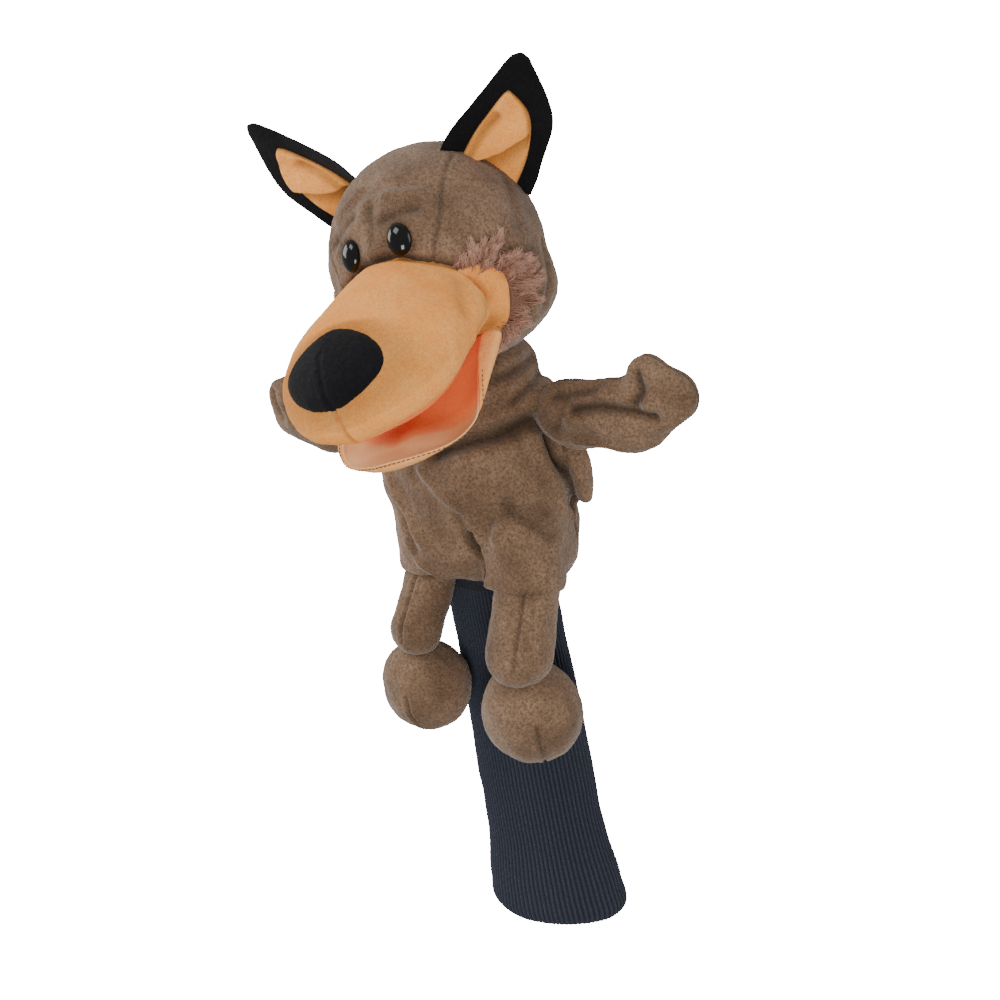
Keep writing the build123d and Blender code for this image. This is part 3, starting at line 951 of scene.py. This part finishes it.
def make_ear(name, side, root, tip, scale, twist):
    up = unit(np.array(tip, float) - root)
    across = np.array((side * 0.73, 0, -0.683))
    across = unit(across - across @ up * up)
    ahead = np.cross(across, up) * side
    across, ahead = (across * math.cos(twist) - ahead * math.sin(twist),
                     ahead * math.cos(twist) + across * math.sin(twist))
    place = HEAD.inside(root, np.stack([across, up, ahead], 1))
    grid = (EAR_ROWS, EAR_COLUMNS)

    a, b, q, share = grid_of(EAR_EDGE, *grid, 1.5)
    body = np.sqrt(np.clip(1 - q ** 2, 0, 1)) * np.sqrt(np.clip(1 - share ** 6, 0, 1))
    middle = ear_cup(a, b)
    flat = np.stack([a, b, middle], 1)
    wave = 0.5 * noise(flat, 14, 60) + 0.12 * noise(flat, 2.0, 61)
    front = np.stack([a * scale, b * scale, middle + 1.5 * body + wave], 1)
    back = np.stack([a * scale, b * scale, middle - 2.8 * body + wave - 0.15], 1)
    shell = closed_grid(f"ear_plush_{name}", place, front, back, *grid, BLACK, seam=np.zeros(len(a)))
    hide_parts(f"ear_back_{name}")

    a, b, q, share = grid_of(EAR_PANEL, *grid, 1.3)
    inside = np.minimum(1 - np.abs(q), (1 - share) * 2.5)
    rise = 1.0 - np.exp(-inside / 0.10)
    middle = ear_cup(a, b)
    flat = np.stack([a, b, middle], 1)
    relief = ear_relief(a, b) * ease(inside, 0.0, 0.16)
    top = middle + 2.0 + 2.6 * rise + relief + 0.10 * noise(flat, 1.8, 63) + 0.3 * noise(flat, 7, 64)
    top = np.maximum(top, middle + 1.9)
    # painted shade along the panel's sunken rim and below its folded lobe
    seam = np.maximum(0.9 * np.exp(-inside / 0.05), ear_shade(a, b))
    front = np.stack([a * scale, b * scale, top], 1)
    back = np.stack([a * scale, b * scale, np.minimum(middle + 0.4, top - 0.8)], 1)
    panel = closed_grid(f"ear_panel_{name}", place, front, back, *grid, TAN, seam=seam)
    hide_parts(f"ear_inner_{name}")
    start, end = place.out((0, 8, 0)) * MM, place.out((0, 26, 0)) * MM
    for piece in (shell, panel):
        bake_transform(piece)


def make_ears():
    make_ear("left", 1, (34.5, 12, 25), (84, -7, 78), 1.0, math.radians(26))
    make_ear("right", -1, (-42, 8, 34), (-80, -5, 95), 0.98, math.radians(26))


# ---- the body
def torso_field(points):
    trunk = ellipsoid(points, (0, 0, 274), (56, 45, 58))
    lobe_right = ellipsoid(points, (-9, -9, 241), (36, 36, 31))
    lobe_left = ellipsoid(points, (36, -12, 240), (20, 31, 31))
    seat = ellipsoid(points, (0, 6, 240), (50, 36, 30))
    neck = ellipsoid(points, (0, 5, 324), (38, 35, 26))
    shoulders = ellipsoid(points, (2, 2, 309), (58, 24, 19))
    web = ellipsoid(points, (55, 8, 272), (12, 9, 19))
    cuff_left = capsule(points, (34, -15, 248), (35, -24, 222), 21, 22)
    cuff_right = capsule(points, (-24, -14, 250), (-24, -21, 228), 21, 20)
    body = melt(melt(trunk, lobe_right, 7), melt(lobe_left, seat, 4), 4)
    body = melt(melt(melt(body, neck, 12), shoulders, 8), web, 5)
    body = melt(body, cuff_right, 6)
    body = melt(body, cuff_left, 2.5)
    hem = 210.5 + (10.5 + 2.5 * ease(-points[:, 0], -14, 12)) * ease(-points[:, 1], 14, 32)
    return cut(body, hem - points[:, 2], 4)


TORSO_FOLDS = folds_of(
    ROW,
    ([(14, -44, 262), (17, -45, 252), (18.5, -44, 242)], 2.4, 1.2),
    # the deep crease from under the jaw into the armpit, and down the flank
    ([(6, -40, 296), (17, -38, 300), (27, -34, 303), (37, -26, 304), (45, -14, 306), (49, -2, 309)],
     4.2, 4.8),
    ([(49, -6, 306), (53, -6, 294), (57, -5, 281), (58, 0, 267), (55, 7, 255)], 3.0, 4.0),
    ([(-49, -2, 306), (-54, -6, 292), (-56, -3, 276)], 3.4, 3.0),
    ([(-20, -37, 300), (-34, -29, 303), (-46, -14, 305)], 3.6, 3.0),
    # light ridges and dips of drawn cloth
    ([(-33, -36, 284), (-29, -39, 275), (-22, -42, 261), (-14, -43, 249)], 3.0, -1.8),
    ([(-4, -44, 288), (1, -45, 282), (7, -46, 274), (16, -45, 268)], 2.6, -1.4),
    ([(-30, -38, 262), (-24, -42, 252), (-20, -44, 240)], 3.4, 1.4),
    ([(-24, -40, 246), (-22, -43, 241), (-14, -41, 232), (-4, -36, 225)], 2.2, -1.2),
    ([(39, -34, 267), (45, -30, 258), (51, -22, 245)], 3.2, 1.2),
    ([(33, -40, 250), (40, -36, 258), (46, -28, 268)], 3.2, -1.3),
    ([(30, -40, 276), (36, -38, 264), (34, -42, 252)], 3.0, -1.0),
    ([(22, -38, 222), (33, -40, 219), (46, -28, 221)], 2.0, 1.6),
    ([(-44, -26, 222), (-31, -38, 219), (-16, -38, 220)], 2.0, 1.6),
    # side seams from the armpits to the waist, and the seam and folds of the back
    ([(55, 2, 292), (57, 3, 276), (55, 4, 250), (46, 4, 222), (40, 3, 212)], 1.3, 1.2),
    ([(-54, 2, 292), (-56, 3, 276), (-54, 4, 250), (-46, 4, 222), (-40, 3, 212)], 1.3, 1.2),
    ([(0, 40, 330), (1, 45, 300), (0, 46, 270), (-1, 43, 240), (0, 36, 214)], 1.3, 1.3),
    ([(-34, 26, 240), (-18, 38, 234), (2, 42, 232)], 3.0, 1.5),
    ([(36, 26, 262), (22, 38, 254), (6, 43, 252)], 3.2, 1.3),
    # the neck's gathers under the head
    ([(30, -24, 330), (38, -4, 331), (34, 20, 330)], 2.6, 1.6),
    ([(42, -16, 318), (44, 0, 322), (38, 20, 322)], 2.6, 1.4),
)
# the slit between the two lobes of the belly
SLIT = Fold([(18, -44, 250), (18.5, -43, 240), (19.5, -42, 231), (20, -38, 222), (20, -32, 213)], 1.7, 5.0,
            swell=0.2)


def torso_shape(points):
    """The front of the legs presses a hollow into the belly's underside."""
    push = np.zeros(len(points))
    for x in (-31, 32):
        d = np.linalg.norm((points - (x, -37, 212)) * (1, 1, 1.4), axis=1)
        push -= 1.2 * bell(d, 13)
    return push, np.zeros(len(points))


# lumps of each upper arm and hand
ARMS = {
    "left": ([((70, 0, 306), (27, 12.5, 19), 6), ((97, 0, 306), (29, 11.5, 20), 6)],
             [((120, 0, 318), (20, 9.5, 18), 6), ((116, 0, 330), (9, 7, 9), 6),
              ((133, 0, 319), (10, 7.5, 10.5), 5)]),
    "right": ([((-70, 0, 301), (27, 12.5, 18), 6), ((-96, 0, 296), (28, 11.5, 19), 6)],
              [((-119, 0, 301), (19, 9.5, 17.5), 6), ((-127, 0, 311), (9, 7, 9), 6)]),
}
ARM_BOXES = {"left": ((40, -18, 280), (148, 18, 344)), "right": ((-144, -18, 272), (-40, 18, 326))}
ARM_FOLDS = {
    "left": folds_of(
        ROW,
        ([(76, -12, 313), (90, -12, 315), (104, -12, 314), (114, -10, 312), (122, -9, 310)], 3.0, 3.2),
        ([(115, -8, 332), (117, -9, 324), (113, -10, 317)], 3.0, 2.4),
        ([(64, -11, 320), (76, -11, 322), (88, -9, 324)], 3.0, 1.8),
        ([(72, -12, 292), (84, -12, 290), (96, -10, 288)], 2.6, -1.2),
        ([(62, -11, 300), (68, -12, 308), (72, -11, 318)], 2.8, 1.4),
        ([(80, 12, 300), (98, 12, 305), (116, 10, 314)], 3.2, 2.0),
    ),
    "right": folds_of(
        ROW,
        ([(-76, -12, 303), (-92, -12, 300), (-108, -11, 300), (-118, -9, 304)], 3.0, 2.6),
        ([(-131, -7, 314), (-128, -9, 306), (-124, -10, 300)], 2.6, 1.8),
        ([(-80, 12, 302), (-98, 12, 298), (-116, 10, 302)], 3.2, 2.0),
    ),
}


def arm_field(points, name):
    arm, hand = (lumped(points, lumps) for lumps in ARMS[name])
    return melt(arm, hand, 7)


def arm_seam(points):
    """The seam round the edge of an arm, where its front and back are sewn together: a groove, with painted
    shade along it.
    """
    return -0.8 * bell(points[:, 1], 1.1), 0.8 * bell(points[:, 1], 1.0)


# hip, lower end, radii, the foot's middle and half sizes, and how far its front seams turn
LEGS = {
    "left": ((39.5, -25, 222), (40.5, -47, 189), (17, 18), (37, -41, 151), (28, 25, 28), 34),
    "right": ((-24, -22, 226), (-26, -46, 196), (13.5, 14.5), (-30.5, -42, 160), (25.5, 23, 26), 4),
}
# lines of a foot's seams on a ball of radius 1
FOOT_FRONT = ((0.05, -1, 0.1), (0.05, -0.98, -0.15), (0.05, -0.93, -0.4), (0.08, -0.55, -0.85),
              (0.05, 0, -1))
FOOT_BACK = ((0, 0.75, 0.6), (0, 1, 0), (0, 0.7, -0.7))


def make_torso():
    torso = stuffed("torso_plush", torso_field, ((-66, -54, 205), (78, 54, 352)), 1.0, BROWN,
                    [SLIT] + TORSO_FOLDS, lumps=1.3, seed=71, shape=torso_shape)
    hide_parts("torso_front_skin", "torso_back_skin", "torso_padding")
    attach(torso, "torso")


def make_arm(name, side):
    arm = stuffed(f"arm_plush_{name}", lambda p: arm_field(p, name), ARM_BOXES[name], 0.8, BROWN,
                  ARM_FOLDS[name], lumps=0.9, seed=81 + side, shape=arm_seam)
    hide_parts(f"arm_{name}_skin", f"arm_{name}_wadding")
    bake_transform(arm)


def make_leg(name):
    hip, end, radii, foot, size, turned = (np.array(v, float) for v in LEGS[name])
    reach = max(radii) + 4
    box = (np.minimum(hip, end) - reach, np.maximum(hip, end) + reach)
    twist = turn("Z", turned)
    down = unit(end - hip)
    ahead = twist @ np.cross(down, (1, 0, 0))
    r = radii[1]
    # the leg's front seam, pulled in as a crease with painted shade along it
    seam = [hip + ahead * r, (hip + end) / 2 + ahead * r, end + ahead * r, end + (ahead + down) * 0.7 * r]
    pinch = [hip + down * 9 + ahead * r - (r * 0.7, 0, 0), hip + down * 12 + ahead * r * 1.05,
             hip + down * 9 + ahead * r + (r * 0.7, 0, 0)]
    leg = stuffed(f"leg_plush_{name}", lambda p: capsule(p, hip, end, *radii), box, 0.8, BROWN,
                  folds_of(ROW, (seam, 0.9, 1.0), (pinch, 2.4, 0.8)), lumps=0.8, seed=91)
    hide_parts(f"leg_{name}_skin", f"leg_{name}_wadding")
    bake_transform(leg)

    front = [foot + size * (twist @ v) for v in FOOT_FRONT]
    back = [foot + size * v for v in FOOT_BACK]
    box = (foot - size - 4, foot + size + 4)
    ball = stuffed(f"foot_plush_{name}", lambda p: ellipsoid(p, foot, size), box, 0.8, BROWN,
                   folds_of(ROW, (front, 0.9, 1.1), (back, 1.0, 1.1)), lumps=0.9, seed=97)
    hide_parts(f"foot_{name}_skin", f"foot_{name}_wadding")
    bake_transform(ball)


# ---- sock, pocket and binding
# height, half width and half depth of the sock's outside
SOCK = [(0, 39, 23), (4, 42, 25), (20, 42, 26), (45, 38, 24), (100, 35.5, 23), (150, 34, 22),
        (216, 33.4, 21.4)]
SOCK_MIDDLE = (37, 23.5)  # its typical half width and half depth
RIBS = 74
RIB_POINTS = 8  # points across a rib
STITCH_LONG = 2.6
KNIT_THICK = 2.4
POCKET = [(217.5, 34, 22), (226, 41, 29), (240, 45.5, 34), (258, 46.5, 35.5), (284, 42.5, 33.5),
          (300, 34, 26.5), (309, 18, 14), (310, 2, 2)]
POCKET_THICK = 1.3


def ring_angles(count, wide, deep):
    """Angles round an ellipse that are evenly spaced along it."""
    fine = np.linspace(0, 2 * math.pi, 4001)
    speed = np.hypot(wide * np.sin(fine), deep * np.cos(fine))
    run = np.concatenate([[0], np.cumsum((speed[1:] + speed[:-1]) / 2)])
    return np.interp(np.arange(count) / count * run[-1], run, fine)


def oval(wide, deep, z, angle):
    """A ring of points at one height, by half width and half depth."""
    return np.stack([wide * np.cos(angle), deep * np.sin(angle), np.full(len(angle), float(z))], 1)


def tube_faces(rows, columns):
    """Quads over rings of points, with the last ring joined to the first."""
    i, j = np.meshgrid(np.arange(rows), np.arange(columns), indexing="ij")
    low, high = i * columns, (i + 1) % rows * columns
    k = (j + 1) % columns
    return np.stack([low + j, low + k, high + k, high + j], -1).reshape(-1, 4)


def make_sock():
    columns = RIBS * RIB_POINTS
    wide, deep = SOCK_MIDDLE
    angle = ring_angles(columns, wide, deep)
    rib = 0.5 + 0.5 * np.cos(np.arange(columns) / RIB_POINTS * 2 * math.pi)
    every_other = np.arange(columns) // RIB_POINTS % 2
    outward = unit(np.stack([np.cos(angle) / wide, np.sin(angle) / deep, 0 * angle], 1))
    points, seam = [], []

    def ring(z, inset):
        base = oval(*along(np.array([z]), SOCK)[0], z, angle)
        dent = 1.1 * noise(base, 38, 101) + 0.35 * noise(base, 12, 102)
        return base + outward * (dent - inset)[:, None]

    for z in np.concatenate([[0.6, 0.9, 1.6, 2.6], np.linspace(4, 216, 128)]):
        row = ring(z, 0.9 + 1.3 * math.exp(-(z - 0.6) / 1.1))
        stitch = 0.12 * np.sin(2 * math.pi * z / STITCH_LONG + 0.5 * math.pi * every_other)
        depth = (1.25 if z > 3 else 0.8) * rib ** 0.6 + stitch * rib
        row = row + outward * depth[:, None]
        row[:, 2] += (1.1 * (rib - 0.5) + 0.5 * noise(row * (1, 1, 0), 16, 103)) * math.exp(-z / 5.0)
        points.append(row)
        # painted shade in the valleys between the ribs
        seam.append(np.clip(1 - rib * 1.3, 0, 1))
    for z in np.linspace(214, 1.2, 26):
        points.append(ring(z, KNIT_THICK + 0.5) + outward * (0.35 * (1 - rib))[:, None])
        # painted shade in the rib valleys of the inside
        seam.append(np.clip(0.5 - 0.5 * rib, 0, 1))
    sock = mesh_object("rib_knit_sock", np.concatenate(points), tube_faces(len(points), columns), KNIT,
                       seam=np.concatenate(seam))
    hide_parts("knit_sock")
    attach(sock, "torso")


def make_pocket():
    """The lining bag that the club's head goes into, its mouth at the waist."""
    columns = 120
    angle = ring_angles(columns, 44, 33)
    outward = np.stack([np.cos(angle), np.sin(angle), 0 * angle], 1)
    rows = []
    heights = np.concatenate([np.linspace(217.5, 300, 44), np.linspace(301.5, 309.9, 10)])
    for inset, order in ((0.0, heights), (POCKET_THICK, heights[::-1])):
        for z in order:
            row = oval(*along(np.array([z]), POCKET)[0], z, angle)
            crumple = -0.5 + 0.45 * noise(row, 16, 111) + 0.15 * noise(row, 6, 112)
            row = row + outward * (crumple - inset)[:, None]
            row[:, 2] -= inset * (z > 300)
            rows.append(row)
    made = mesh_object("pocket_bag", np.concatenate(rows), tube_faces(len(rows), columns), LINING,
                       seam=np.zeros(len(rows) * columns))
    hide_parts("club_pocket_lining")
    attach(made, "torso")


def make_binding():
    """The tape round the waist where sock, lining and skin are sewn together."""
    columns, section = 220, 16
    angle = ring_angles(columns, 35, 23)
    low, high, thick = 210, 217.2, 2.0
    outward = np.stack([np.cos(angle), np.sin(angle), 0 * angle], 1)
    rows = []
    for a in np.linspace(0, 2 * math.pi, section, endpoint=False):
        squeeze, lift = (np.sign(v) * abs(v) ** 0.5 for v in (math.cos(a), math.sin(a)))
        row = oval(34.6, 22.6, (low + high) / 2, angle)
        row = row + outward * (thick / 2 * squeeze + 0.15 * noise(row, 8, 121))[:, None]
        row[:, 2] += (high - low) / 2 * lift
        rows.append(row)
    tape = mesh_object("waist_tape", np.concatenate(rows), tube_faces(section, columns), BINDING,
                       seam=np.zeros(section * columns))
    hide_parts("waist_binding")
    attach(tape, "torso")


def finish_hard_parts():
    """The moulded plastic nodes keep their CAD shape and get their finish."""
    for side in ("left", "right"):
        for node, material in ((f"eye_{side}", EYE_PLASTIC), (f"eye_washer_{side}", WASHER_PLASTIC)):
            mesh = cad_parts[node].data
            mesh.materials.clear()
            mesh.materials.append(material)


make_cheeks()
make_ears()
make_torso()
make_arm("left", 1)
make_arm("right", -1)
make_leg("left")
make_leg("right")
make_sock()
make_pocket()
make_binding()
finish_hard_parts()


# ---- the scene
ROOM_LIGHT = 0.52
SHOWN_LIGHT = 26.0  # how bright the room looks behind the object
FLOOR_GLOW = 24.0
FLOOR_WIDE, FLOOR_DEPTH = 30, -0.25
# place, width and power of each lamp: right behind, left, above and a little in front, low in front
LAMPS = (((1.3, 0.75, 0.75), 0.9, 7), ((-1.3, -0.5, 0.9), 0.8, 14), ((-0.3, -0.7, 1.7), 0.7, 11),
         ((0.8, -1.3, 0.25), 0.6, 16))
LAMP_AIM = (0, 0, 0.3)
CAMERA_PLACE = (0.6794, -0.8570, 0.6501)
CAMERA_TURN = (38, 20, 10.6)  # azimuth, elevation and roll in degrees
CAMERA_LENS = 77.6


def make_stage():
    """A white floor well below the object, in a soft white room with lamps on all sides."""
    bpy.ops.mesh.primitive_plane_add(size=FLOOR_WIDE, location=(0, 0, FLOOR_DEPTH))
    floor = bpy.context.object
    floor.name = "floor"
    n = Nodes("floor")
    tone = n.ramp(n.noise(3, 2), (0.3, linear(250, 250, 250)), (0.7, linear(255, 255, 255)))
    n.set(Base_Color=tone, Roughness=0.9, Specular_IOR_Level=0.1, Emission_Color=WHITE,
          Emission_Strength=FLOOR_GLOW)
    floor.data.materials.append(n.material)
    # the floor's glow isn't a lamp: it only shows
    floor.visible_diffuse = False
    floor.visible_glossy = False

    world = bpy.data.worlds.new("room")
    bpy.context.scene.world = world
    world.use_nodes = True
    nodes, links = world.node_tree.nodes, world.node_tree.links
    light = nodes["Background"]
    light.inputs["Color"].default_value = WHITE
    light.inputs["Strength"].default_value = ROOM_LIGHT
    shown = nodes.new("ShaderNodeBackground")
    shown.inputs["Strength"].default_value = SHOWN_LIGHT
    path = nodes.new("ShaderNodeLightPath")
    mix = nodes.new("ShaderNodeMixShader")
    links.new(path.outputs["Is Camera Ray"], mix.inputs["Fac"])
    links.new(light.outputs["Background"], mix.inputs[1])
    links.new(shown.outputs["Background"], mix.inputs[2])
    links.new(mix.outputs["Shader"], nodes["World Output"].inputs["Surface"])

    for place, size, power in LAMPS:
        light = bpy.data.lights.new("lamp", "AREA")
        light.size = size
        light.energy = power
        lamp = bpy.data.objects.new("lamp", light)
        bpy.context.scene.collection.objects.link(lamp)
        lamp.location = place
        aim = Vector(LAMP_AIM) - lamp.location
        lamp.rotation_mode = "QUATERNION"
        lamp.rotation_quaternion = aim.to_track_quat("-Z", "Y")


def make_camera():
    azimuth, elevation, roll = (math.radians(a) for a in CAMERA_TURN)
    away = Vector((math.sin(azimuth), -math.cos(azimuth), 0))
    across = (math.cos(azimuth), math.sin(azimuth), 0)
    high = Vector((0, 0, 1))
    up = high * math.cos(elevation) - away * math.sin(elevation)
    back = away * math.cos(elevation) + high * math.sin(elevation)
    level = Matrix((across, up, back)).transposed()
    data = bpy.data.cameras.new("camera")
    data.lens = CAMERA_LENS
    data.sensor_width = 36
    data.clip_start, data.clip_end = 0.05, 50
    camera = bpy.data.objects.new("camera", data)
    bpy.context.scene.collection.objects.link(camera)
    camera.matrix_world = (Matrix.Translation(CAMERA_PLACE)
                           @ (level @ Matrix.Rotation(-roll, 3, "Z")).to_4x4())
    bpy.context.scene.camera = camera


make_stage()
make_camera()
